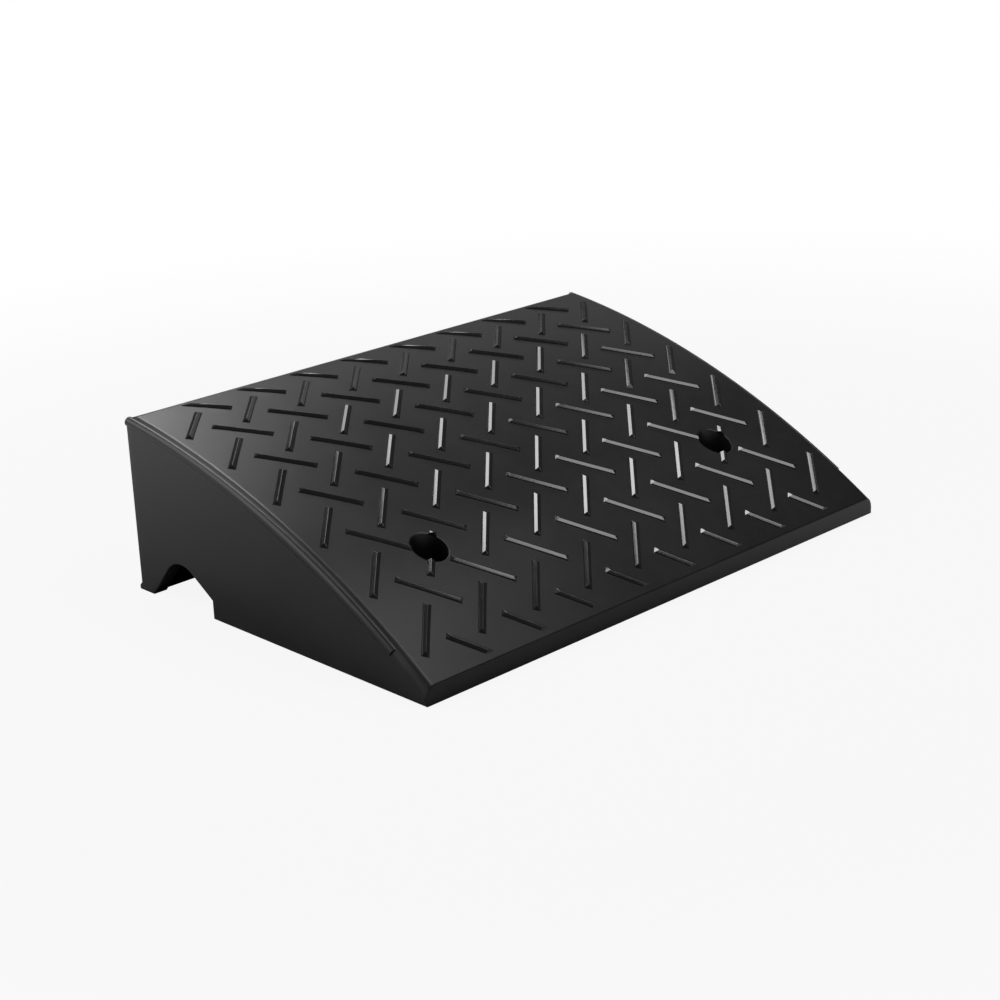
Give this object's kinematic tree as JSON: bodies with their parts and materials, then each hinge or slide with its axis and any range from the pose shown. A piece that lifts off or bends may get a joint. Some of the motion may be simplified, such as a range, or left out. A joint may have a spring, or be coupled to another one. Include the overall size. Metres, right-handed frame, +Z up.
{
  "type": "rubber kerb ramp",
  "caption": "Moulded rubber kerb ramp with an arched deck of crossed raised tread bars, a hollow ribbed underside, a drain arch beside the kerb and sleeved bolt holes.",
  "frame": {"origin": "on the road, under the middle of the ramp's bounding box", "axes": "+X along the kerb, +Y from the road towards the kerb, +Z up"},
  "size_m": [0.5014, 0.344, 0.1435],
  "materials": {
    "moulded_rubber": "satin black moulded rubber with light scuffs",
    "zinc_steel": "dull zinc plate"
  },
  "bodies": {
    "root": {"ramp_body": "moulded_rubber", "fixing_sleeve_left": "zinc_steel", "fixing_sleeve_right": "zinc_steel", "seat_washer_left": "zinc_steel", "seat_washer_right": "zinc_steel"}
  },
  "joints": []
}
